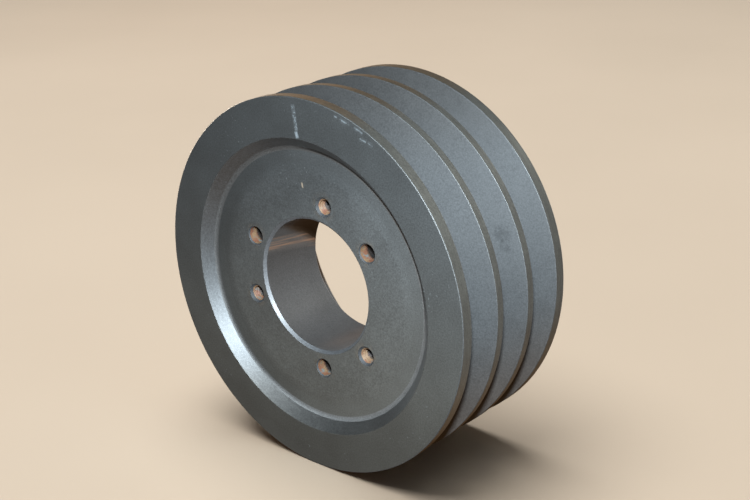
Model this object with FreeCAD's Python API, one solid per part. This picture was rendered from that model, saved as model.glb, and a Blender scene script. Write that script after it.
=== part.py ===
import FreeCAD, Part
import math
import os

from FreeCAD import Placement, Rotation, Vector

# A three-groove V-belt sheave for a quick-detachable tapered bushing, turned from one grey iron casting.
# Millimetres. The axis of rotation is Y, the front face looks towards -Y and the origin is the middle
# of the rim's width on the axis. Radii are measured from the axis of rotation.

INCH = 25.4

# Rim
RIM_DIAMETER = 5.95 * INCH
RIM_WIDTH = 2.5 * INCH
RIM_EDGE_ROUND = 0.35

# Combination A/B belt grooves
GROOVE_COUNT = 3
GROOVE_PITCH = 0.75 * INCH
GROOVE_TOP_WIDTH = 0.612 * INCH
GROOVE_DEPTH = 0.612 * INCH
GROOVE_ANGLE_DEG = 34.0
GROOVE_EDGE_ROUND = 0.25
GROOVE_ROOT_ROUND = 0.8

# Recess in the front face, with the hub's own facing cut in the middle of it
RECESS_LIP_RADIUS = 59.75
RECESS_DEPTH = 4.5
RECESS_WALL_ANGLE_DEG = 45.0
RECESS_LIP_ROUND = 0.25
RECESS_FOOT_ROUND = 2.5
HUB_FACE_RADIUS = 45.5
RELIEF_INNER_RADIUS = 49.5
RELIEF_DEPTH = 0.2
RELIEF_ROUND = 12.0

# Hub and its tapered bore, 3/4 inch of diameter for each foot of length, widest at the rear
HUB_LENGTH = 1.25 * INCH
HUB_REAR_RADIUS = 43.0
HUB_EDGE_ROUND = 0.5
BORE_REAR_DIAMETER = 2.1875 * INCH
BORE_TAPER = 0.75 / 12
BORE_FRONT_CHAMFER = 1.15
BORE_REAR_CHAMFER = 1.35

# Open rear side: the cast floor lies a little below the hub's machined rear face, and the cast inside of
# the rim ends in a turned band and a 45 degree bevel out to the rear lip
REAR_FLOOR_DROP = 1.2
REAR_FLOOR_INNER_ROUND = 0.8
REAR_FLOOR_OUTER_ROUND = 5.0
RIM_INNER_DRAFT_DEG = 2.5
REAR_BAND_RADIUS = 54.0
REAR_BAND_WIDTH = 4.0
REAR_LIP_RADIUS = 57.65

# Bushing screw holes: three tapped 1/4-20 and three clear, alternating on one circle
BOLT_CIRCLE_RADIUS = 2.6875 * INCH / 2
SCREWS_OF_A_KIND = 3
TAPPED_HOLE_RADIUS = 0.201 * INCH / 2
CLEAR_HOLE_RADIUS = 0.2813 * INCH / 2
HOLE_MOUTH_RADIUS = 4.05
HOLE_REAR_CHAMFER = 0.4
FIRST_TAPPED_ANGLE_DEG = 77.9
FIRST_CLEAR_ANGLE_DEG = 34.6

# Derived places along the axis
FRONT = -RIM_WIDTH / 2
REAR = RIM_WIDTH / 2
WEB_FRONT = FRONT + RECESS_DEPTH
HUB_REAR = WEB_FRONT + HUB_LENGTH
REAR_FLOOR = HUB_REAR - REAR_FLOOR_DROP
REAR_BEVEL = REAR - (REAR_LIP_RADIUS - REAR_BAND_RADIUS)
REAR_BAND = REAR_BEVEL - REAR_BAND_WIDTH


def bore_radius(y):
    """The tapered bore's radius at a place along the axis."""
    return (BORE_REAR_DIAMETER - (HUB_REAR - y) * BORE_TAPER) / 2


def groove_corners(centre):
    """One groove's four corners, from its rear edge to its front edge, as (radius, y, rounding)."""
    rim = RIM_DIAMETER / 2
    root = rim - GROOVE_DEPTH
    half_top = GROOVE_TOP_WIDTH / 2
    half_root = half_top - GROOVE_DEPTH * math.tan(math.radians(GROOVE_ANGLE_DEG / 2))
    return [
        (rim, centre + half_top, GROOVE_EDGE_ROUND),
        (root, centre + half_root, GROOVE_ROOT_ROUND),
        (root, centre - half_root, GROOVE_ROOT_ROUND),
        (rim, centre - half_top, GROOVE_EDGE_ROUND),
    ]


def bore_corners():
    """The bore and its two chamfers, from the front face to the rear face of the hub."""
    front_wall = WEB_FRONT + BORE_FRONT_CHAMFER
    rear_wall = HUB_REAR - BORE_REAR_CHAMFER
    return [
        (bore_radius(front_wall) + BORE_FRONT_CHAMFER, WEB_FRONT, 0),
        (bore_radius(front_wall), front_wall, 0),
        (bore_radius(rear_wall), rear_wall, 0),
        (bore_radius(rear_wall) + BORE_REAR_CHAMFER, HUB_REAR, 0),
    ]


def rear_corners():
    """The hub's rear edge, the cast floor beside it and the rim's inside, out to the rear face."""
    draft = math.tan(math.radians(RIM_INNER_DRAFT_DEG))
    return [
        (HUB_REAR_RADIUS, HUB_REAR, HUB_EDGE_ROUND),
        (HUB_REAR_RADIUS + REAR_FLOOR_DROP, REAR_FLOOR, REAR_FLOOR_INNER_ROUND),
        (REAR_BAND_RADIUS - (REAR_BAND - REAR_FLOOR) * draft, REAR_FLOOR, REAR_FLOOR_OUTER_ROUND),
        (REAR_BAND_RADIUS, REAR_BAND, 0),
        (REAR_BAND_RADIUS, REAR_BEVEL, 0),
        (REAR_LIP_RADIUS, REAR, 0),
    ]


def rim_corners():
    """The rim's outside, from its rear edge over the grooves to its front edge."""
    rim = RIM_DIAMETER / 2
    corners = [(rim, REAR, RIM_EDGE_ROUND)]
    for number in reversed(range(GROOVE_COUNT)):
        centre = (number - (GROOVE_COUNT - 1) / 2) * GROOVE_PITCH
        corners += groove_corners(centre)
    corners.append((rim, FRONT, RIM_EDGE_ROUND))
    return corners


def recess_corners():
    """The recess in the front face, from its lip in to the hub's facing cut."""
    floor = WEB_FRONT + RELIEF_DEPTH
    wall_run = (floor - FRONT) * math.tan(math.radians(RECESS_WALL_ANGLE_DEG))
    return [
        (RECESS_LIP_RADIUS, FRONT, RECESS_LIP_ROUND),
        (RECESS_LIP_RADIUS - wall_run, floor, RECESS_FOOT_ROUND),
        (RELIEF_INNER_RADIUS, floor, RELIEF_ROUND),
        (HUB_FACE_RADIUS, WEB_FRONT, RELIEF_ROUND),
    ]


def rounded_outline(corners):
    """A closed wire through (radius, y, rounding) corners, with a tangent arc at each rounded one."""
    points = [Vector(radius, y, 0) for radius, y, _ in corners]
    edges = []
    starts = []
    ends = []
    for index, (_, _, rounding) in enumerate(corners):
        corner = points[index]
        back = (points[index - 1] - corner).normalize()
        ahead = (points[(index + 1) % len(points)] - corner).normalize()
        if not rounding:
            starts.append(corner)
            ends.append(corner)
            continue
        half_angle = back.getAngle(ahead) / 2
        reach = rounding / math.tan(half_angle)
        middle = (back + ahead).normalize()
        apex = corner + middle * (rounding / math.sin(half_angle) - rounding)
        starts.append(corner + back * reach)
        ends.append(corner + ahead * reach)
        edges.append(Part.Arc(starts[-1], apex, ends[-1]).toShape())
    for index, end in enumerate(ends):
        edges.append(Part.LineSegment(end, starts[(index + 1) % len(starts)]).toShape())
    return Part.Wire(Part.__sortEdges__(edges))


def turned_blank():
    """The whole sheave without its screw holes, as one revolved section."""
    corners = bore_corners() + rear_corners() + rim_corners() + recess_corners()
    section = Part.Face(rounded_outline(corners))
    return section.revolve(Vector(0, 0, 0), Vector(0, 1, 0), 360)


def screw_hole(radius, angle_deg):
    """A countersunk hole through the hub, as the body of material to take out."""
    front_chamfer = HOLE_MOUTH_RADIUS - radius
    clearance = 1.0
    along = Vector(0, 1, 0)
    base = Vector(BOLT_CIRCLE_RADIUS, 0, 0)
    drill = Part.makeCylinder(
        radius, HUB_LENGTH + 2 * clearance, base + along * (WEB_FRONT - clearance), along)
    front_cone = Part.makeCone(
        HOLE_MOUTH_RADIUS + clearance, radius, front_chamfer + clearance,
        base + along * (WEB_FRONT - clearance), along)
    rear_cone = Part.makeCone(
        radius, radius + HOLE_REAR_CHAMFER + clearance, HOLE_REAR_CHAMFER + clearance,
        base + along * (HUB_REAR - HOLE_REAR_CHAMFER), along)
    hole = drill.fuse([front_cone, rear_cone])
    # A turn of -angle about +Y carries +X towards +Z.
    hole.Placement = Placement(Vector(0, 0, 0), Rotation(along, -angle_deg))
    return hole


def screw_holes():
    """Both sets of screw holes round the bore."""
    holes = []
    for number in range(SCREWS_OF_A_KIND):
        turn = number * 360 / SCREWS_OF_A_KIND
        holes.append(screw_hole(TAPPED_HOLE_RADIUS, FIRST_TAPPED_ANGLE_DEG + turn))
        holes.append(screw_hole(CLEAR_HOLE_RADIUS, FIRST_CLEAR_ANGLE_DEG + turn))
    return holes


def sheave_body():
    """The finished sheave: one casting, turned, grooved, bored and drilled."""
    return turned_blank().cut(screw_holes())


os.makedirs("parts", exist_ok=True)
nodes = {"sheave_body": sheave_body()}
for name, shape in nodes.items():
    shape.exportStep(f"parts/{name}.step")
    kilograms = shape.Volume * 7.2e-6
    print(name, "valid", shape.isValid(), "solids", len(shape.Solids), f"mass {kilograms:.3f} kg")
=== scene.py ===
import math
from collections import namedtuple

import bmesh
import bpy
from mathutils import Matrix, Vector, noise


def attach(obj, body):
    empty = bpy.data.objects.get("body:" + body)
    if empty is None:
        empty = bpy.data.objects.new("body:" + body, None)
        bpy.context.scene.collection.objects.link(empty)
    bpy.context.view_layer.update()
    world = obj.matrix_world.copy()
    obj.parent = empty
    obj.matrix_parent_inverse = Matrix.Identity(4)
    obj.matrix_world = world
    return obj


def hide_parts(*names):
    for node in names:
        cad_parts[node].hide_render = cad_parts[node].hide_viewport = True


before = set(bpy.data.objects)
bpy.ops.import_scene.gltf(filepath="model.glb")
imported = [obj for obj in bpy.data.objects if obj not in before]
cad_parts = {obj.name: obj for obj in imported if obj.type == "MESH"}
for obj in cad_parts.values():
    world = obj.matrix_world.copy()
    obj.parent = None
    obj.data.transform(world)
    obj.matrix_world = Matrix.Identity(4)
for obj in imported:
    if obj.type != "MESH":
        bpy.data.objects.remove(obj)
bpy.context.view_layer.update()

# The looks of a three-groove V-belt sheave: one turned grey iron casting with a dark phosphate finish.
# The axis of rotation is Y and the front face looks towards -Y. Shapes are written in millimetres, as
# (radius, y) places on the section or as object coordinates, and become metres when a mesh is made.

MM = 0.001
INCH = 25.4

# Rim and belt grooves
RIM_RADIUS = 5.95 * INCH / 2
RIM_HALF_WIDTH = 2.5 * INCH / 2
RIM_EDGE_ROUND = 0.35
GROOVE_COUNT = 3
GROOVE_PITCH = 0.75 * INCH
GROOVE_TOP_WIDTH = 0.612 * INCH
GROOVE_DEPTH = 0.612 * INCH
GROOVE_ANGLE_DEG = 34.0
GROOVE_EDGE_ROUND = 0.25
GROOVE_ROOT_ROUND = 0.8

# Recess in the front face
RECESS_LIP_RADIUS = 59.75
RECESS_DEPTH = 4.5
RECESS_LIP_ROUND = 0.25
RECESS_FOOT_ROUND = 2.5
HUB_FACE_RADIUS = 45.5
RELIEF_INNER_RADIUS = 49.5
RELIEF_DEPTH = 0.2
RELIEF_ROUND = 12.0

# Hub and tapered bore
HUB_LENGTH = 1.25 * INCH
HUB_REAR_RADIUS = 43.0
HUB_EDGE_ROUND = 0.5
BORE_REAR_DIAMETER = 2.1875 * INCH
BORE_TAPER = 0.75 / 12
BORE_FRONT_CHAMFER = 1.15
BORE_REAR_CHAMFER = 1.35
EDGE_BREAK = 0.12

# Open rear side
REAR_FLOOR_DROP = 1.2
REAR_FLOOR_INNER_ROUND = 0.8
REAR_FLOOR_OUTER_ROUND = 5.0
RIM_INNER_DRAFT_DEG = 2.5
REAR_BAND_RADIUS = 54.0
REAR_BAND_WIDTH = 4.0
REAR_LIP_RADIUS = 57.65

# Screw holes
BOLT_CIRCLE_RADIUS = 2.6875 * INCH / 2
SCREWS_OF_A_KIND = 3
TAPPED_HOLE_RADIUS = 0.201 * INCH / 2
CLEAR_HOLE_RADIUS = 0.2813 * INCH / 2
THREAD_MAJOR_RADIUS = 0.25 * INCH / 2
THREAD_PITCH = INCH / 20
HOLE_MOUTH_RADIUS = 4.05
HOLE_REAR_CHAMFER = 0.4
FIRST_TAPPED_ANGLE_DEG = 77.9
FIRST_CLEAR_ANGLE_DEG = 34.6

# Fineness of the meshes: points round the axis, degrees for each step of an arc, how far a loop stands
# from an arc to keep its shading tight, strips of cast surface, and points round and along a hole
TURNS = 336
ARC_STEP_DEG = 12.0
SUPPORT = 0.3
CAST_STRIP = 2.2
HOLE_SIDES = 32
THREAD_STEPS = 6
SHARP_ANGLE_DEG = 28
CUTTER_OVERSHOOT = 1.0

# The cast skin: slow waves, and a grain on them
CAST_RELIEF = 0.14
CAST_WAVE_SCALE = 0.09
CAST_GRAIN = 0.28
CAST_GRAIN_SCALE = 0.55
CAST_GRAIN_SHIFT = Vector((3.1, 7.7, 1.3))

# A thread's flank is steeper than a plain zigzag and is cut flat at its crest and root
THREAD_STEEPNESS = 1.3
THREAD_FLAT = 0.15

# Derived places along the axis
FRONT = -RIM_HALF_WIDTH
REAR = RIM_HALF_WIDTH
WEB_FRONT = FRONT + RECESS_DEPTH
HUB_REAR = WEB_FRONT + HUB_LENGTH
REAR_FLOOR = HUB_REAR - REAR_FLOOR_DROP
REAR_BEVEL = REAR - (REAR_LIP_RADIUS - REAR_BAND_RADIUS)
REAR_BAND = REAR_BEVEL - REAR_BAND_WIDTH

FINISHES = [
    "face", "web", "recess", "foot", "chamfer", "land", "flank", "edge", "bore", "cast", "rear_face",
    "hole_mouth", "hole_wall",
]


# --- Section -------------------------------------------------------------------------------------------


def bore_radius(y):
    """The tapered bore's radius at a place along the axis."""
    return (BORE_REAR_DIAMETER - (HUB_REAR - y) * BORE_TAPER) / 2


def bore_corners():
    """The bore and its chamfers, from front to rear.

    A corner is (radius, y, rounding, finish of the rounding, finish of the straight that follows).
    """
    front_wall = WEB_FRONT + BORE_FRONT_CHAMFER
    rear_wall = HUB_REAR - BORE_REAR_CHAMFER
    return [
        (bore_radius(front_wall) + BORE_FRONT_CHAMFER, WEB_FRONT, EDGE_BREAK, "edge", "chamfer"),
        (bore_radius(front_wall), front_wall, EDGE_BREAK, "edge", "bore"),
        (bore_radius(rear_wall), rear_wall, EDGE_BREAK, "bore", "bore"),
        (bore_radius(rear_wall) + BORE_REAR_CHAMFER, HUB_REAR, EDGE_BREAK, "bore", "rear_face"),
    ]


def rear_corners():
    """The hub's rear edge, the cast floor beside it and the rim's inside, out to the rear face."""
    draft = math.tan(math.radians(RIM_INNER_DRAFT_DEG))
    foot = REAR_BAND_RADIUS - (REAR_BAND - REAR_FLOOR) * draft
    return [
        (HUB_REAR_RADIUS, HUB_REAR, HUB_EDGE_ROUND, "edge", "cast"),
        (HUB_REAR_RADIUS + REAR_FLOOR_DROP, REAR_FLOOR, REAR_FLOOR_INNER_ROUND, "cast", "cast"),
        (foot, REAR_FLOOR, REAR_FLOOR_OUTER_ROUND, "cast", "cast"),
        (REAR_BAND_RADIUS, REAR_BAND, EDGE_BREAK, "bore", "bore"),
        (REAR_BAND_RADIUS, REAR_BEVEL, EDGE_BREAK, "bore", "bore"),
        (REAR_LIP_RADIUS, REAR, EDGE_BREAK, "edge", "rear_face"),
    ]


def groove_corners(centre):
    """One groove, from its rear edge to its front edge."""
    root = RIM_RADIUS - GROOVE_DEPTH
    half_top = GROOVE_TOP_WIDTH / 2
    half_root = half_top - GROOVE_DEPTH * math.tan(math.radians(GROOVE_ANGLE_DEG / 2))
    return [
        (RIM_RADIUS, centre + half_top, GROOVE_EDGE_ROUND, "edge", "flank"),
        (root, centre + half_root, GROOVE_ROOT_ROUND, "flank", "flank"),
        (root, centre - half_root, GROOVE_ROOT_ROUND, "flank", "flank"),
        (RIM_RADIUS, centre - half_top, GROOVE_EDGE_ROUND, "edge", "land"),
    ]


def rim_corners():
    """The rim's outside, from its rear edge over the grooves to its front edge."""
    corners = [(RIM_RADIUS, REAR, RIM_EDGE_ROUND, "edge", "land")]
    for number in reversed(range(GROOVE_COUNT)):
        corners += groove_corners((number - (GROOVE_COUNT - 1) / 2) * GROOVE_PITCH)
    corners.append((RIM_RADIUS, FRONT, RIM_EDGE_ROUND, "edge", "face"))
    return corners


def recess_corners():
    """The recess in the front face, from its 45 degree wall in to the hub's facing cut."""
    floor = WEB_FRONT + RELIEF_DEPTH
    return [
        (RECESS_LIP_RADIUS, FRONT, RECESS_LIP_ROUND, "face", "recess"),
        (RECESS_LIP_RADIUS - (floor - FRONT), floor, RECESS_FOOT_ROUND, "foot", "web"),
        (RELIEF_INNER_RADIUS, floor, RELIEF_ROUND, "web", "web"),
        (HUB_FACE_RADIUS, WEB_FRONT, RELIEF_ROUND, "web", "web"),
    ]


def corner_arc(before, corner, after, rounding):
    """Points on the tangent arc that rounds a corner, from the straight before it to the one after."""
    back = (before - corner).normalized()
    ahead = (after - corner).normalized()
    half_angle = back.angle(ahead) / 2
    reach = rounding / math.tan(half_angle)
    centre = corner + (back + ahead).normalized() * (rounding / math.sin(half_angle))
    sweep = math.pi - 2 * half_angle
    turn = -1 if back.x * ahead.y - back.y * ahead.x > 0 else 1
    steps = max(2, math.ceil(math.degrees(sweep) / ARC_STEP_DEG))
    spoke = corner + back * reach - centre
    return [centre + Matrix.Rotation(turn * sweep * step / steps, 2) @ spoke for step in range(steps + 1)]


def straight_points(start, end, finish):
    """The start of a straight and the loops along it: one beside each arc, and more on cast surfaces."""
    length = (end - start).length
    along = (end - start).normalized()
    support = min(SUPPORT, length / 4)
    points = [start, start + along * support]
    if finish == "cast":
        strips = max(1, round((length - 2 * support) / CAST_STRIP))
        step = (length - 2 * support) / strips
        points += [start + along * (support + step * strip) for strip in range(1, strips)]
    points.append(end - along * support)
    return points


def section_outline():
    """The closed outline as a list of (point, finish of the strip from this point to the next)."""
    corners = bore_corners() + rear_corners() + rim_corners() + recess_corners()
    places = [Vector(corner[:2]) for corner in corners]
    count = len(corners)
    arcs = [
        corner_arc(places[index - 1], places[index], places[(index + 1) % count], corners[index][2])
        for index in range(count)
    ]
    outline = []
    for index, (_, _, _, arc_finish, straight_finish) in enumerate(corners):
        outline += [(point, arc_finish) for point in arcs[index][:-1]]
        ends = arcs[index][-1], arcs[(index + 1) % count][0]
        outline += [(point, straight_finish) for point in straight_points(*ends, straight_finish)]
    return outline


# --- Meshes --------------------------------------------------------------------------------------------


def cast_offset(place):
    """How far a cast surface stands off its true place: slow waves and a pebbled grain."""
    waves = noise.noise(place * CAST_WAVE_SCALE)
    grain = noise.noise(place * CAST_GRAIN_SCALE + CAST_GRAIN_SHIFT)
    return CAST_RELIEF * (waves + CAST_GRAIN * grain)


def turned_mesh():
    """The whole sheave without its screw holes, as rings of points about the axis."""
    outline = section_outline()
    rows = len(outline)
    shape = bmesh.new()
    rings = []
    for index, (point, finish) in enumerate(outline):
        before, after = outline[index - 1][0], outline[(index + 1) % rows][0]
        across = (after - before).normalized()
        outward = Vector((-across.y, across.x))
        inside_cast = finish == "cast" and outline[index - 1][1] == "cast"
        ring = []
        for turn in range(TURNS):
            angle = 2 * math.pi * turn / TURNS
            spun = Vector((math.cos(angle), 0, math.sin(angle)))
            place = spun * point.x + Vector((0, point.y, 0))
            if inside_cast:
                place += (spun * outward.x + Vector((0, outward.y, 0))) * cast_offset(place)
            ring.append(shape.verts.new(place * MM))
        rings.append(ring)
    for index, (_, finish) in enumerate(outline):
        ring, following = rings[index], rings[(index + 1) % rows]
        for turn in range(TURNS):
            nxt = (turn + 1) % TURNS
            face = shape.faces.new((ring[turn], ring[nxt], following[nxt], following[turn]))
            face.material_index = FINISHES.index(finish)
    return shape


def hole_profile(radius):
    """Rows of (y, radius, finish of the strip that follows) down one countersunk hole, with overshoot."""
    past = CUTTER_OVERSHOOT
    front_chamfer = HOLE_MOUTH_RADIUS - radius
    return [
        (WEB_FRONT - past, HOLE_MOUTH_RADIUS + past, "hole_mouth"),
        (WEB_FRONT + front_chamfer, radius, "hole_wall"),
        (HUB_REAR - HOLE_REAR_CHAMFER, radius, "hole_mouth"),
        (HUB_REAR + past, radius + HOLE_REAR_CHAMFER + past, "hole_mouth"),
    ]


def thread_radius(y, share):
    """A right-handed 60 degree thread's radius, at a share of a turn from +X towards +Z."""
    phase = (y / THREAD_PITCH + share) % 1.0
    ramp = 1 - abs(2 * phase - 1)
    height = min(1, max(0, THREAD_STEEPNESS * ramp - THREAD_FLAT))
    return TAPPED_HOLE_RADIUS + (THREAD_MAJOR_RADIUS - TAPPED_HOLE_RADIUS) * height


def threaded_rows():
    """Rows down a tapped hole, close enough together to carry the thread."""
    (front, mouth, _), (front_wall, bore, _), (rear_wall, _, _), (rear, rear_mouth, _) = hole_profile(
        TAPPED_HOLE_RADIUS)
    rows = [(front, mouth, "hole_mouth")]
    step = THREAD_PITCH / THREAD_STEPS
    count = math.ceil((rear - front) / step)
    for number in range(1, count):
        y = front + (rear - front) * number / count
        cone = max(mouth - (y - front), bore + (y - rear_wall))
        rows.append((y, cone, "hole_mouth" if y < front_wall - THREAD_PITCH / 2 else "hole_wall"))
    rows.append((rear, rear_mouth, "hole_mouth"))
    return rows


def add_cutter(shape, angle_deg, rows, threaded):
    """Adds one hole's closed cutter to a bmesh."""
    centre = Matrix.Rotation(-math.radians(angle_deg), 3, "Y") @ Vector((BOLT_CIRCLE_RADIUS, 0, 0))
    rings = []
    for y, radius, _ in rows:
        ring = []
        for side in range(HOLE_SIDES):
            share = side / HOLE_SIDES
            reach = max(radius, thread_radius(y, share)) if threaded else radius
            around = Vector((math.cos(2 * math.pi * share), 0, math.sin(2 * math.pi * share)))
            ring.append(shape.verts.new((centre + around * reach + Vector((0, y, 0))) * MM))
        rings.append(ring)
    for index, (_, _, finish) in enumerate(rows[:-1]):
        for side in range(HOLE_SIDES):
            nxt = (side + 1) % HOLE_SIDES
            face = shape.faces.new(
                (rings[index][side], rings[index][nxt], rings[index + 1][nxt], rings[index + 1][side]))
            face.material_index = FINISHES.index(finish)
    shape.faces.new(rings[0])
    shape.faces.new(list(reversed(rings[-1])))


def hole_angles():
    """The six screw holes' angles from +X towards +Z, tapped and clear by turns."""
    turns = [number * 360 / SCREWS_OF_A_KIND for number in range(SCREWS_OF_A_KIND)]
    return [first + turn for turn in turns for first in (FIRST_TAPPED_ANGLE_DEG, FIRST_CLEAR_ANGLE_DEG)]


def hole_cutters():
    """All six screw holes as one mesh of closed cutters."""
    shape = bmesh.new()
    for tapped, clear in zip(hole_angles()[0::2], hole_angles()[1::2]):
        add_cutter(shape, tapped, threaded_rows(), True)
        add_cutter(shape, clear, hole_profile(CLEAR_HOLE_RADIUS), False)
    return shape


def to_object(name, shape, materials):
    """Makes an object from a bmesh, with its faces looking outwards and one slot for each finish."""
    bmesh.ops.recalc_face_normals(shape, faces=shape.faces)
    mesh = bpy.data.meshes.new(name)
    shape.to_mesh(mesh)
    shape.free()
    for material in materials:
        mesh.materials.append(material)
    made = bpy.data.objects.new(name, mesh)
    bpy.context.scene.collection.objects.link(made)
    return made


def drilled(blank, cutters):
    """Takes the cutters out of the blank and leaves the result as the blank's own mesh."""
    cut = blank.modifiers.new("holes", "BOOLEAN")
    cut.operation = "DIFFERENCE"
    cut.solver = "EXACT"
    cut.material_mode = "INDEX"
    cut.object = cutters
    bpy.context.view_layer.update()
    seen = blank.evaluated_get(bpy.context.evaluated_depsgraph_get())
    mesh = bpy.data.meshes.new_from_object(seen)
    blank.modifiers.clear()
    blank.data = mesh
    bpy.data.objects.remove(cutters)
    mesh.shade_smooth()
    mesh.set_sharp_from_angle(angle=math.radians(SHARP_ANGLE_DEG))
    return blank


# --- Materials -----------------------------------------------------------------------------------------


# A point as a vector, its coordinates, and its radius and angle about the axis of rotation
Places = namedtuple("Places", "place x y z radius angle")


class Shader:
    """One node material, with short ways to add and join its nodes."""

    def __init__(self, name):
        self.material = bpy.data.materials.new(name)
        self.material.use_nodes = True
        self.tree = self.material.node_tree
        self.tree.nodes.clear()

    def node(self, kind, inputs=None, **settings):
        """Adds a node; an input is a socket to link or a value to set."""
        made = self.tree.nodes.new(kind)
        for key, value in settings.items():
            setattr(made, key, value)
        for key, value in (inputs or {}).items():
            if isinstance(value, bpy.types.NodeSocket):
                self.tree.links.new(value, made.inputs[key])
            else:
                made.inputs[key].default_value = value
        return made

    def maths(self, operation, *values):
        """One step of arithmetic on sockets or numbers."""
        return self.node("ShaderNodeMath", dict(enumerate(values)), operation=operation).outputs[0]

    def times(self, first, second):
        """The product of two values."""
        return self.maths("MULTIPLY", first, second)

    def mix(self, share, first, second, blend="MIX"):
        """Two colours mixed by a share of the second."""
        inputs = {0: share, 6: first, 7: second}
        return self.node("ShaderNodeMix", inputs, data_type="RGBA", blend_type=blend).outputs[2]

    def ramp(self, value, low, high, to_low=0.0, to_high=1.0):
        """A smooth step from one output to another; the inputs may run either way."""
        if low > high:
            low, high, to_low, to_high = high, low, to_high, to_low
        inputs = {0: value, 1: low, 2: high, 3: to_low, 4: to_high}
        return self.node("ShaderNodeMapRange", inputs, interpolation_type="SMOOTHSTEP").outputs[0]

    def noise(self, place, scale, detail=2.0, roughness=0.5, distortion=0.0):
        """A cloudy field from 0 to 1; the scale is in cycles for each millimetre."""
        inputs = {"Vector": place, "Scale": scale, "Detail": detail, "Roughness": roughness,
                  "Distortion": distortion}
        return self.node("ShaderNodeTexNoise", inputs).outputs["Fac"]

    def tint(self, colour, factors):
        """A colour multiplied by another, channel by channel."""
        return self.mix(1.0, colour, factors, "MULTIPLY")

    def shaded(self, colour, factor):
        """A colour made lighter or darker by a factor."""
        return self.tint(colour, self.combine(factor, factor, factor))

    def near(self, place, centre, reach):
        """1 at a place in space, fading to 0 at a distance from it."""
        gap = self.node("ShaderNodeVectorMath", {0: place, 1: centre}, operation="DISTANCE").outputs["Value"]
        return self.ramp(gap, reach, reach * 0.3)

    def streak(self, at, start, end, half_width):
        """1 on a straight streak between two (x, z) places, with soft sides and ends."""
        run = Vector(end) - Vector(start)
        ux, uz = run.normalized()
        dx, dz = self.maths("SUBTRACT", at.x, start[0]), self.maths("SUBTRACT", at.z, start[1])
        along = self.maths("MULTIPLY_ADD", dz, uz, self.times(dx, ux))
        across = self.maths("MULTIPLY_ADD", dz, ux, self.times(dx, -uz))
        side = self.ramp(self.maths("ABSOLUTE", across), half_width, half_width * 0.3)
        ends = self.times(self.ramp(along, -0.4, 0.4),
                          self.ramp(along, run.length + 0.4, run.length - 0.4))
        return self.times(side, ends)

    def places(self):
        """Where a point is on the object, in millimetres and radians."""
        raw = self.node("ShaderNodeTexCoord").outputs["Object"]
        place = self.node("ShaderNodeVectorMath", {0: raw, "Scale": 1 / MM}, operation="SCALE").outputs[0]
        parts = self.node("ShaderNodeSeparateXYZ", {0: place}).outputs
        square = self.maths("ADD", self.times(parts[0], parts[0]), self.times(parts[2], parts[2]))
        radius = self.maths("SQRT", square)
        angle = self.maths("ARCTAN2", parts[2], parts[0])
        return Places(place, parts[0], parts[1], parts[2], radius, angle)

    def combine(self, x, y, z):
        """A vector, or a colour, from three values."""
        return self.node("ShaderNodeCombineXYZ", {0: x, 1: y, 2: z}).outputs[0]

    def bump(self, height, distance, normal=None):
        """A normal for relief of a given depth in millimetres, on top of another normal if there is one."""
        inputs = {"Height": height, "Distance": distance * MM, "Strength": 1.0}
        if normal is not None:
            inputs["Normal"] = normal
        return self.node("ShaderNodeBump", inputs).outputs[0]

    def finish(self, colour, roughness, normal, metallic, **constants):
        """The surface itself; constants go straight onto its sockets."""
        inputs = {"Base Color": colour, "Roughness": roughness, "Normal": normal, "Metallic": metallic}
        inputs.update({key.replace("_", " "): value for key, value in constants.items()})
        surface = self.node("ShaderNodeBsdfPrincipled", inputs)
        output = self.node("ShaderNodeOutputMaterial")
        self.tree.links.new(surface.outputs[0], output.inputs[0])
        return self.material


# Fields of noise that every finish shares
CLOUD_SCALE = 0.06
GRAIN_SCALE = 1.7
TURNING_SCALE = 3.5
TURNING_SLANT = 0.37
TURNING_DEPTH = 0.004
TURNING_CONTRAST = 0.08

# Tints, which multiply a finish's own colour. RUST_STAIN is a real stain; the rest are painted light and
# shade: warm bounce, cool light, reflection and shadow
BOUNCE_BROWN_PAINT = (1.05, 1.0, 0.9, 1.0)
COOL_LIGHT_PAINT = (0.96, 1.0, 1.02, 1.0)
RUST_STAIN = (1.45, 1.15, 0.9, 1.0)
RECESS_BOUNCE_WARMTH = (1.25, 1.18, 1.1, 1.0)
LAND_REFLECTION_BROWN = (1.07, 0.82, 0.62, 1.0)
FLANK_BOUNCE_WARMTH = (1.3, 1.12, 1.0, 1.0)
FLANK_TOP_SHADE = (0.92, 0.88, 0.85, 1.0)
BORE_SHADOW_BROWN = (0.6, 0.42, 0.28, 1.0)

# Colours that cover a finish's own
DUST_GREY = (0.45, 0.5, 0.52, 1.0)
CHALK_WHITE = (0.62, 0.72, 0.78, 1.0)
DIRT_TAN = (0.85, 0.72, 0.56, 1.0)
# BORE_BAND and COPPERY are part rust and scuffs, part painted reflection
BORE_BAND = (0.5, 0.42, 0.36, 1.0)
COPPERY = (0.68, 0.4, 0.25, 1.0)
RUST_RED = (0.13, 0.055, 0.03, 1.0)
BARE_IRON = (0.1, 0.105, 0.1, 1.0)
CAST_RUST = (0.13, 0.075, 0.045, 1.0)

# Marks on the front as (x, z) places, in the bore as degrees round it, and in the middle groove as
# (x, y, z) places with their reach
CHALK = ((-1.1, 72.6), (0.0, 62.8))
CHALK_BLOB = ((-0.3, 62.6), (0.4, 60.3))
SCUFFS = [((19.4, 71.2), (26.4, 68.8)), ((28.8, 68.3), (32.6, 66.7)), ((31.0, 64.6), (37.0, 62.8))]
WEB_SPECK = ((-3.3, 41.3), (-2.9, 39.4))
STREAK_TOP = -21
STREAK_BOTTOM = -7
STREAK_SLANT = -0.42
# The slope and start of the painted shadow line in the bore
BORE_SHADOW_SLANT = -1.48
BORE_SHADOW_START = 15.5
SMUDGES = [((65.2, 6.0, 24.8), 5.0), ((66.9, 6.1, 20.6), 4.0)]


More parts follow.
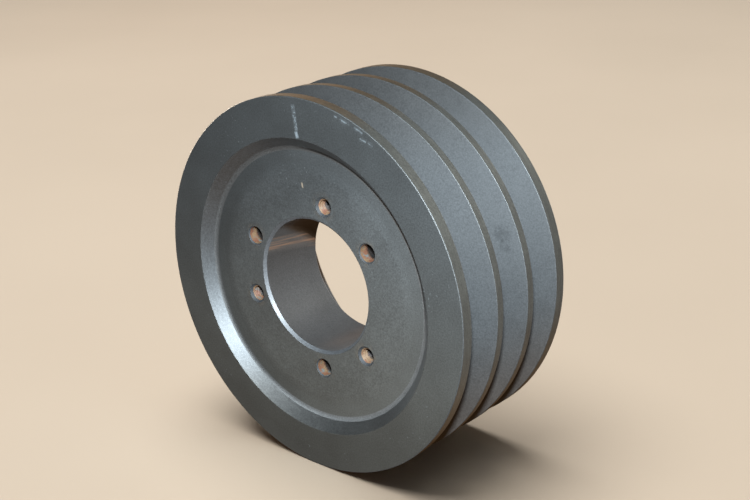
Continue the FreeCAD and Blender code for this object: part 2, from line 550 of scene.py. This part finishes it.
def phosphated(name, colour, roughness=0.68, metallic=1.0, coat=0.55, coat_rough=0.33, marks=0.5,
               bumps=0.012, extras=None, rough_marks=None):
    """Turned iron with a dark phosphate film: mottled, finely grained, with faint turning marks.

    extras(s, colour, at) adds a surface's own marks and rough_marks(s, at) replaces its roughness.
    """
    s = Shader(name)
    at = s.places()
    cloud = s.noise(at.place, CLOUD_SCALE, detail=4.0, roughness=0.6)
    grain = s.noise(at.place, GRAIN_SCALE, detail=2.0, roughness=0.8)
    along = s.maths("MULTIPLY_ADD", at.y, TURNING_SLANT, at.radius)
    rings = s.noise(s.combine(along, 0.0, 0.0), TURNING_SCALE, detail=3.0, roughness=0.75)
    tone = s.ramp(cloud, 0.3, 0.7, 0.97, 1.03)
    speckle = s.ramp(grain, 0.25, 0.75, 0.8, 1.2)
    contrast = TURNING_CONTRAST * marks
    lines = s.ramp(rings, 0.2, 0.8, 1 - contrast, 1 + contrast)
    tinted = s.shaded((*colour, 1.0), s.times(s.times(tone, speckle), lines))
    if rough_marks:
        rough = rough_marks(s, at)
    else:
        rough = s.maths("ADD", s.ramp(grain, 0.2, 0.8, -0.03, 0.03),
                        s.ramp(cloud, 0.3, 0.7, roughness - 0.015, roughness + 0.015))
    normal = s.bump(rings, TURNING_DEPTH * marks, s.bump(grain, bumps))
    if extras:
        tinted = extras(s, tinted, at)
    return s.finish(tinted, rough, normal, metallic, Coat_Weight=coat, Coat_Roughness=coat_rough)


def painted_light_tints(s, tinted, at):
    """Painted light on the front: browner low down as painted warm bounce light, cooler high up as painted
    cool light, and lighter towards +X as painted light falling across the face.
    """
    tinted = s.mix(s.ramp(at.z, -60, 55), s.tint(tinted, BOUNCE_BROWN_PAINT), s.tint(tinted, COOL_LIGHT_PAINT))
    return s.shaded(tinted, s.ramp(at.x, -70, 70, 0.88, 1.15))


def dust(s, place, least):
    """Rare pale specks: above a least value of one field, and only where a slower one is high."""
    specks = s.ramp(s.noise(place, 1.0, detail=1.0), least, least + 0.06)
    return s.times(specks, s.ramp(s.noise(place, 0.045), 0.48, 0.66))


def face_marks(s, tinted, at):
    """A broken chalk streak, rubbed scuffs near the rim and dust on the front ring, over painted light and
    shade.
    """
    tinted = painted_light_tints(s, tinted, at)
    # Painted shade: darker towards the top and the bottom of the ring
    tinted = s.shaded(tinted, s.ramp(s.maths("ABSOLUTE", at.z), 25, 62, 1.0, 0.86))
    # Painted light: lighter round a place low down on the -X side
    tinted = s.shaded(tinted, s.ramp(s.near(at.place, (-54.0, FRONT, -46.0), 60.0), 0, 1, 1.0, 1.2))
    ragged = s.noise(at.place, 1.1, detail=3.0, roughness=0.7)
    patchy = s.noise(s.combine(s.times(at.x, 0.6), 0.0, at.z), 0.85, detail=4.0, roughness=0.8)
    chalk = s.times(s.streak(at, *CHALK, 1.15), s.ramp(patchy, 0.43, 0.6, 0.1, 0.9))
    blob = s.times(s.streak(at, *CHALK_BLOB, 1.1), s.ramp(ragged, 0.3, 0.5, 0.3, 1.0))
    marks = s.maths("MAXIMUM", chalk, blob)
    rubbed = s.ramp(s.noise(at.place, 0.45, detail=3.0, roughness=0.7), 0.4, 0.6)
    for start, end in SCUFFS:
        scuff = s.maths("ADD", s.times(s.streak(at, start, end, 0.4), 0.55),
                        s.times(s.streak(at, start, end, 1.5), 0.12))
        marks = s.maths("MAXIMUM", marks, s.times(scuff, rubbed))
    tinted = s.mix(s.times(dust(s, at.place, 0.7), 0.35), tinted, DUST_GREY)
    return s.mix(s.times(marks, 0.75), tinted, CHALK_WHITE)


def web_marks(s, tinted, at):
    """Painted shade high up and towards the wall on the -X side, dust, rust round the holes and a speck of
    dirt.
    """
    tinted = painted_light_tints(s, tinted, at)
    # Painted shade: darker high up, more so towards -X
    high_left = s.maths("MULTIPLY_ADD", at.x, -0.5, at.z)
    tinted = s.shaded(tinted, s.ramp(high_left, 20, 42, 1.0, 0.8))
    # Painted shade: darker next to the recess wall on the -X side
    near_wall = s.times(s.ramp(at.radius, 43, 51), s.ramp(at.x, 5, -30))
    tinted = s.shaded(tinted, s.ramp(near_wall, 0, 1, 1.0, 0.8))
    tinted = s.mix(s.times(dust(s, at.place, 0.69), 0.3), tinted, DUST_GREY)
    patches = s.ramp(s.noise(at.place, 0.3, detail=3.0), 0.42, 0.62, 0.0, 0.6)
    for angle_deg in hole_angles():
        turn = math.radians(angle_deg)
        centre = (BOLT_CIRCLE_RADIUS * math.cos(turn), WEB_FRONT, BOLT_CIRCLE_RADIUS * math.sin(turn))
        stain = s.times(s.near(at.place, centre, 7.0), patches)
        tinted = s.mix(stain, tinted, s.tint(tinted, RUST_STAIN))
    return s.mix(s.times(s.streak(at, *WEB_SPECK, 0.6), 0.7), tinted, DIRT_TAN)


def recess_marks(s, tinted, at):
    """The recess's wall: painted shade at the upper right, painted light at the upper left and towards +X,
    painted warm bounce light below, and marks across.
    """
    high_right = s.maths("ADD", at.x, at.z)
    across = s.noise(s.combine(s.times(at.angle, 30.0), at.y, 0.0), 1.3, detail=3.0, roughness=0.7)
    # Painted shade at the upper right, then painted light at the upper left and towards +X
    tinted = s.shaded(tinted, s.ramp(high_right, 5, 75, 1.0, 0.22))
    high_left = s.maths("MULTIPLY_ADD", at.x, -0.5, at.z)
    tinted = s.shaded(tinted, s.ramp(high_left, 15, 60, 1.0, 1.5))
    tinted = s.shaded(tinted, s.ramp(at.x, 35, 52, 1.0, 1.35))
    # Painted warm bounce light low down
    tinted = s.mix(s.ramp(at.z, -35, -55), tinted, s.tint(tinted, RECESS_BOUNCE_WARMTH))
    return s.shaded(tinted, s.ramp(across, 0.25, 0.75, 0.9, 1.1))


def foot_marks(s, tinted, at):
    """The fillet: its pale colour is a painted highlight, strongest towards +X and low down, with a painted
    shadow line high up on the +X side.
    """
    low_right = s.maths("MULTIPLY_ADD", at.z, -0.5, at.x)
    # Painted shadow of the lip, high up on the +X side
    lip_shadow = s.times(s.ramp(s.maths("ADD", at.x, at.z), 40, 66), s.ramp(at.radius, 54.4, 54.9))
    tinted = s.shaded(tinted, s.ramp(lip_shadow, 0, 1, 1.0, 0.22))
    # Painted highlight, fading towards -X
    return s.shaded(tinted, s.ramp(low_right, -20, 25, 0.55, 1.0))


def land_marks(s, tinted, at):
    """The lands are browner at the top and the bottom as a painted reflection of warm surroundings, with
    rubbed streaks along them.
    """
    # Painted reflection: a brown tint at the top and the bottom
    brown = s.maths("MAXIMUM", s.ramp(at.z, 66, 75), s.ramp(at.z, 0, -40))
    tinted = s.mix(brown, tinted, s.tint(tinted, LAND_REFLECTION_BROWN))
    rubs = s.noise(s.combine(s.times(at.angle, 4.0), at.y, 0.0), 1.2, detail=3.0)
    return s.shaded(tinted, s.ramp(rubs, 0.3, 0.7, 0.9, 1.1))


def flank_marks(s, tinted, at):
    """The groove walls: warmer low down as painted bounce light, darker at the top as painted shade, with
    wisps and one dark smudge.
    """
    # Painted warm bounce light low down, then painted shade at the top
    low = s.mix(s.ramp(at.z, 0, -50), tinted, s.tint(tinted, FLANK_BOUNCE_WARMTH))
    tinted = s.mix(s.ramp(at.z, 45, 75), low, s.tint(low, FLANK_TOP_SHADE))
    wisps = s.ramp(s.noise(at.place, 0.13, detail=4.0, roughness=0.65, distortion=0.6), 0.6, 0.75, 1.0, 0.86)
    blotches = s.ramp(s.noise(at.place, 0.35, detail=4.0, roughness=0.65), 0.36, 0.6, 0.15, 1.0)
    tinted = s.shaded(tinted, wisps)
    for centre, reach in SMUDGES:
        smudge = s.times(s.near(at.place, centre, reach), blotches)
        tinted = s.shaded(tinted, s.ramp(smudge, 0, 1, 1.0, 0.76))
    return tinted


def bore_marks(s, tinted, at):
    """The bore has a painted shadow, tinted brown, high up beyond a slanting shadow line, and coppery
    streaks, part rust and part painted reflection, slanting a little along it on the -X side.

    The angle wraps at +X, so the painted shadow ends there in a hard edge at z = 0.
    """
    turn = s.maths("ARCTAN2", at.z, s.times(at.x, -1.0))
    below = s.times(turn, -1 / math.radians(1.0))
    depth = s.maths("MULTIPLY_ADD", at.y, BORE_SHADOW_SLANT, s.maths("ADD", below, BORE_SHADOW_START))
    # Painted shadow: brown beyond the shadow line
    tinted = s.mix(s.ramp(depth, 9, 0), tinted, s.tint(tinted, BORE_SHADOW_BROWN))
    across = s.maths("MULTIPLY_ADD", at.y, STREAK_SLANT, below)
    lines = s.noise(s.combine(across, s.times(at.y, 0.13), 0.0), 0.2, detail=2.0, roughness=0.6)
    band = s.times(s.ramp(across, STREAK_TOP - 3, STREAK_TOP + 2),
                   s.ramp(across, STREAK_BOTTOM + 3, STREAK_BOTTOM - 3))
    band = s.times(band, s.ramp(depth, -1, 1))
    # Pale band and coppery streaks: part rust and scuffs, part painted reflection
    tinted = s.mix(s.times(band, 0.2), tinted, BORE_BAND)
    streaks = s.times(s.ramp(lines, 0.46, 0.62), band)
    return s.mix(s.times(streaks, 0.55), tinted, COPPERY)


def drilled_marks(s, tinted, at):
    """Rust and bare patches just inside the holes' mouths, and painted shade deeper in."""
    rust = s.mix(s.ramp(s.noise(at.place, 0.35, detail=2.0), 0.42, 0.6), tinted, RUST_RED)
    rust = s.mix(s.ramp(s.noise(at.place, 0.45), 0.56, 0.7), rust, BARE_IRON)
    # Painted shade: dark deeper in the hole
    return s.shaded(rust, s.ramp(at.y, WEB_FRONT + 3.2, WEB_FRONT + 5.0, 1.0, 0.04))


def cast_pits(s, at):
    """The pits of the sand-cast skin, low where it is pitted."""
    return s.noise(at.place, 0.7, detail=3.0, roughness=0.7)


def cast_marks(s, tinted, at):
    """Sand-cast skin: pits and grains that keep some rust."""
    rusted = s.ramp(s.noise(at.place, 0.12, detail=3.0), 0.5, 0.7, 0.0, 0.6)
    rusty = s.mix(rusted, tinted, CAST_RUST)
    return s.shaded(rusty, s.ramp(cast_pits(s, at), 0.3, 0.6, 0.6, 1.15))


def cast_roughness(s, at):
    """The cast skin is rougher in its pits."""
    return s.ramp(cast_pits(s, at), 0.3, 0.7, 0.85, 0.7)


def make_materials():
    """One material for each finish, in the order of FINISHES."""
    dark = (0.14, 0.147, 0.148)
    web = (0.186, 0.195, 0.197)
    looks = {
        "face": phosphated("phosphated_face", dark, extras=face_marks),
        "web": phosphated("phosphated_web", web, extras=web_marks),
        "recess": phosphated("phosphated_recess", (0.14, 0.15, 0.156), roughness=0.53, coat=1.0,
                             coat_rough=0.3, extras=recess_marks),
        # The foot's paler colour is a painted highlight
        "foot": phosphated("foot_painted_highlight", (0.287, 0.292, 0.29), extras=foot_marks),
        # The chamfer's lighter colour is a painted highlight
        "chamfer": phosphated("bore_chamfer", (0.2, 0.21, 0.22), coat=1.0),
        # The lands' warm olive colour is partly a painted reflection of warm surroundings
        "land": phosphated("phosphated_land", (0.168, 0.165, 0.147), marks=1.0, extras=land_marks),
        "flank": phosphated("phosphated_flank", (0.135, 0.143, 0.148), extras=flank_marks),
        "edge": phosphated("worn_edge", (0.14, 0.146, 0.146), coat=0.3),
        "bore": phosphated("bore_iron", (0.158, 0.152, 0.148), extras=bore_marks),
        "cast": phosphated("cast_iron", (0.13, 0.132, 0.13), coat=0.2, marks=0.0, bumps=0.12,
                           extras=cast_marks, rough_marks=cast_roughness),
        "rear_face": phosphated("phosphated_rear", web),
        "hole_mouth": phosphated("countersink", (0.1, 0.105, 0.11), roughness=0.8, coat=0.0),
        "hole_wall": phosphated("drilled_wall", (0.15, 0.093, 0.05), metallic=0.0, coat=0.0,
                                extras=drilled_marks),
    }
    return [looks[finish] for finish in FINISHES]


# --- Stage ---------------------------------------------------------------------------------------------


FLOOR_DARK = (0.46, 0.4, 0.33, 1.0)
FLOOR_PALE = (0.51, 0.445, 0.37, 1.0)
FLOOR_ROUGHNESS = 0.8
FLOOR_FLAT_RADIUS = 2.2
FLOOR_RISE = 1.4
FLOOR_SIDES = 96
FLOOR_RISE_STEPS = 14

CAMERA_PLACE = (327.8, -360.55, 184.9)
CAMERA_AZIMUTH_DEG = 41.57
CAMERA_ELEVATION_DEG = 20.12
CAMERA_ROLL_DEG = -2.4
CAMERA_LENS = 62.346
CAMERA_SENSOR = 36.0

LIGHT_TARGET = (0.0, -0.02, 0.0)
FLOOR_TARGET = (0.1, 0.3, -0.07)
KEY_ABOVE_LENS = 0.08

WORLD_WARM = (1.0, 0.55, 0.24, 1.0)
WORLD_COOL = (0.32, 0.36, 0.4, 1.0)
WORLD_STRENGTH = 0.14


def add_floor():
    """A plain pale sweep that is flat under the sheave and turns up far from it."""
    s = Shader("pale_floor")
    place = s.places().place
    cloud = s.noise(place, 0.004, detail=3.0)
    colour = s.mix(cloud, FLOOR_DARK, FLOOR_PALE)
    material = s.finish(colour, FLOOR_ROUGHNESS, s.bump(s.noise(place, 0.8), 0.02), metallic=0.0)
    rings = [(FLOOR_FLAT_RADIUS * share, 0.0) for share in (0.12, 0.3, 0.6, 1.0)]
    for step in range(1, FLOOR_RISE_STEPS + 1):
        angle = math.pi / 2 * step / FLOOR_RISE_STEPS
        rings.append((FLOOR_FLAT_RADIUS + FLOOR_RISE * math.sin(angle),
                      FLOOR_RISE * (1 - math.cos(angle))))
    shape = bmesh.new()
    loops = []
    for radius, height in rings:
        loops.append([
            shape.verts.new((radius * math.cos(2 * math.pi * side / FLOOR_SIDES),
                             radius * math.sin(2 * math.pi * side / FLOOR_SIDES),
                             height - RIM_RADIUS * MM))
            for side in range(FLOOR_SIDES)
        ])
    shape.faces.new(loops[0])
    for inner, outer in zip(loops, loops[1:]):
        for side in range(FLOOR_SIDES):
            nxt = (side + 1) % FLOOR_SIDES
            shape.faces.new((inner[side], outer[side], outer[nxt], inner[nxt]))
    floor = to_object("floor", shape, [material])
    floor.data.shade_smooth()
    floor.visible_glossy = False
    return floor


def add_area_light(name, place, size, watts, colour, target=LIGHT_TARGET):
    """A round lamp, unseen by the camera, that faces a target."""
    data = bpy.data.lights.new(name, "AREA")
    data.shape = "DISK"
    data.size = size
    data.energy = watts
    data.color = colour
    lamp = bpy.data.objects.new(name, data)
    bpy.context.scene.collection.objects.link(lamp)
    lamp.visible_camera = False
    lamp.location = place
    lamp.rotation_mode = "QUATERNION"
    lamp.rotation_quaternion = (Vector(target) - Vector(place)).to_track_quat("-Z", "Y")
    return lamp


def add_camera():
    """A long lens from the front right, a little above, with the camera rolled very slightly."""
    azimuth = math.radians(CAMERA_AZIMUTH_DEG)
    elevation = math.radians(CAMERA_ELEVATION_DEG)
    roll = math.radians(CAMERA_ROLL_DEG)
    place = Vector(CAMERA_PLACE) * MM
    back = Vector((math.sin(azimuth) * math.cos(elevation), -math.cos(azimuth) * math.cos(elevation),
                   math.sin(elevation)))
    right = Vector((math.cos(azimuth), math.sin(azimuth), 0))
    up = back.cross(right)
    tilted_right = math.cos(roll) * right + math.sin(roll) * up
    tilted_up = math.cos(roll) * up - math.sin(roll) * right
    data = bpy.data.cameras.new("camera")
    data.sensor_width = CAMERA_SENSOR
    data.lens = CAMERA_LENS
    data.clip_start, data.clip_end = 0.01, 50.0
    camera = bpy.data.objects.new("camera", data)
    bpy.context.scene.collection.objects.link(camera)
    turned = Matrix((tilted_right, tilted_up, back)).transposed()
    camera.matrix_world = Matrix.Translation(place) @ turned.to_4x4()
    bpy.context.scene.camera = camera
    return place, tilted_up


def add_lights(eye, up, floor, sheave):
    """A small key just above the lens, soft lamps behind, one for the floor alone, and a faint surround.

    The key and two of the lamps behind light only the sheave, so that they leave no streaks on the floor.
    """
    only_sheave, only_floor = [bpy.data.collections.new(name) for name in ("sheave_light", "floor_light")]
    only_sheave.objects.link(sheave)
    only_floor.objects.link(floor)
    key = add_area_light("key", eye + up * KEY_ABOVE_LENS, size=0.05, watts=9.0, colour=(0.9, 1.0, 1.07))
    behind = add_area_light("behind", (0.0, 1.4, -0.02), size=0.8, watts=10.0, colour=(1.0, 0.94, 0.87))
    left = add_area_light("left", (-1.2, 0.5, -0.02), size=0.5, watts=18.0, colour=(1.0, 0.87, 0.74))
    for lamp in (key, behind, left):
        lamp.light_linking.receiver_collection = only_sheave
    add_area_light("rear_left", (-1.0, 0.8, 0.5), size=0.6, watts=0.5, colour=(1.0, 0.5, 0.2))
    add_area_light("rear_right", (0.5, 1.3, 0.7), size=0.6, watts=1.2, colour=(1.0, 0.95, 0.8))
    over = add_area_light("overhead", (-0.3, -0.2, 2.6), size=2.4, watts=125.0, colour=(1.0, 0.96, 0.9),
                          target=FLOOR_TARGET)
    over.light_linking.receiver_collection = only_floor
    add_surround()


def add_surround():
    """Faint light from all round: warm from below and cooler from above."""
    world = bpy.data.worlds.new("surround")
    world.use_nodes = True
    tree = world.node_tree
    upward = tree.nodes.new("ShaderNodeSeparateXYZ")
    tree.links.new(tree.nodes.new("ShaderNodeTexCoord").outputs["Generated"], upward.inputs[0])
    blend = tree.nodes.new("ShaderNodeValToRGB")
    blend.color_ramp.elements[0].position = 0.35
    blend.color_ramp.elements[0].color = WORLD_WARM
    blend.color_ramp.elements[1].position = 0.65
    blend.color_ramp.elements[1].color = WORLD_COOL
    half = tree.nodes.new("ShaderNodeMapRange")
    half.inputs["From Min"].default_value = -1.0
    tree.links.new(upward.outputs[2], half.inputs[0])
    tree.links.new(half.outputs[0], blend.inputs[0])
    sky = tree.nodes["Background"]
    tree.links.new(blend.outputs[0], sky.inputs["Color"])
    sky.inputs["Strength"].default_value = WORLD_STRENGTH
    bpy.context.scene.world = world
    bpy.context.scene.view_settings.view_transform = "Standard"


# --- Scene ---------------------------------------------------------------------------------------------

materials = make_materials()
sheave = to_object("sheave", turned_mesh(), materials)
sheave = drilled(sheave, to_object("cutters", hole_cutters(), materials))
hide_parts("sheave_body")
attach(sheave, "root")

add_lights(*add_camera(), add_floor(), sheave)
